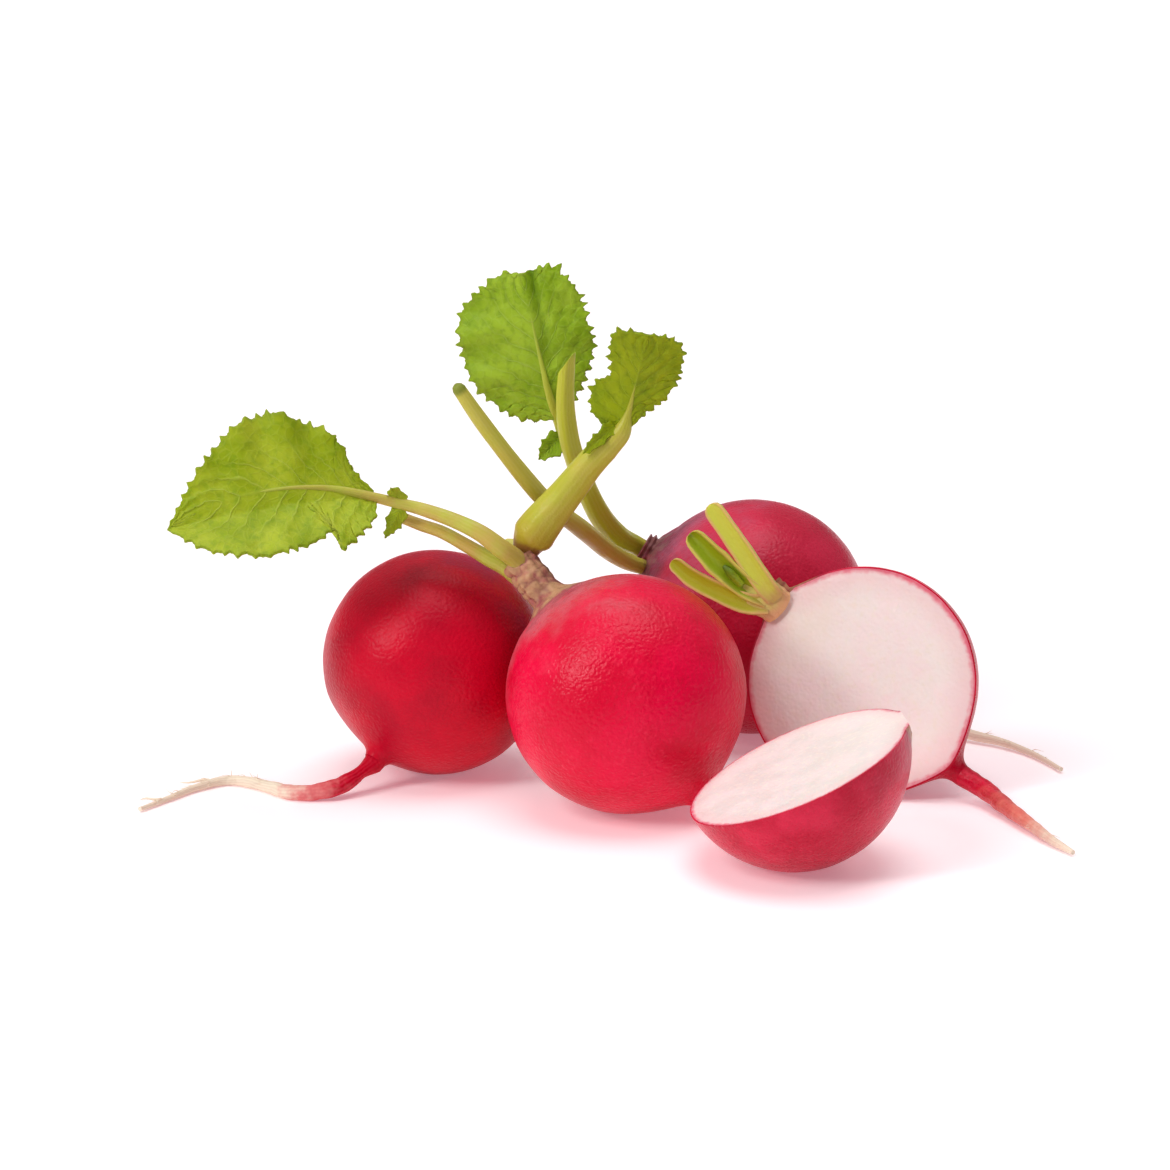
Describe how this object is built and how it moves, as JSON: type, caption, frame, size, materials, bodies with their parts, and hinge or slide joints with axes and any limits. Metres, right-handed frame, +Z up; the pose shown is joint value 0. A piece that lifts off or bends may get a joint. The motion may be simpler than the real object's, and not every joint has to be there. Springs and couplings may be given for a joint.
{
  "type": "bunch of radishes",
  "caption": "Small bunch of round red radishes on a table, some whole with tails, one halved and one sliced, with cut green stalks and young toothed leaves.",
  "frame": {"origin": "on the table under the middle of the bunch's bounding box", "axes": "+Z up, +X to the right along the longest side of the bunch, +Y away from the viewer of the picture"},
  "size_m": [0.1264, 0.0928, 0.0685],
  "materials": {
    "radish_skin": "thin smooth crimson skin with a soft shine, pinker and duller towards the crown, fading to beige on the tail",
    "radish_flesh": "moist off-white cut flesh inside a thin crimson skin",
    "leaf": "thin yellow-green blade with pale veins and a slightly crinkled, softly shining surface",
    "stalk": "smooth pale yellow-green stalk with fine lengthwise ridges, browner at its base"
  },
  "bodies": {
    "root": {"front_radish": "radish_skin", "left_radish": "radish_skin", "back_radish": "radish_skin", "half_radish": "radish_flesh", "slice_radish": "radish_flesh", "left_leaf": "leaf", "right_leaf": "leaf", "upright_leaf": "leaf", "lower_stalk": "stalk", "long_stalk": "stalk", "split_stalk": "stalk", "half_stalks": "stalk", "left_stubs": "stalk"}
  },
  "joints": []
}
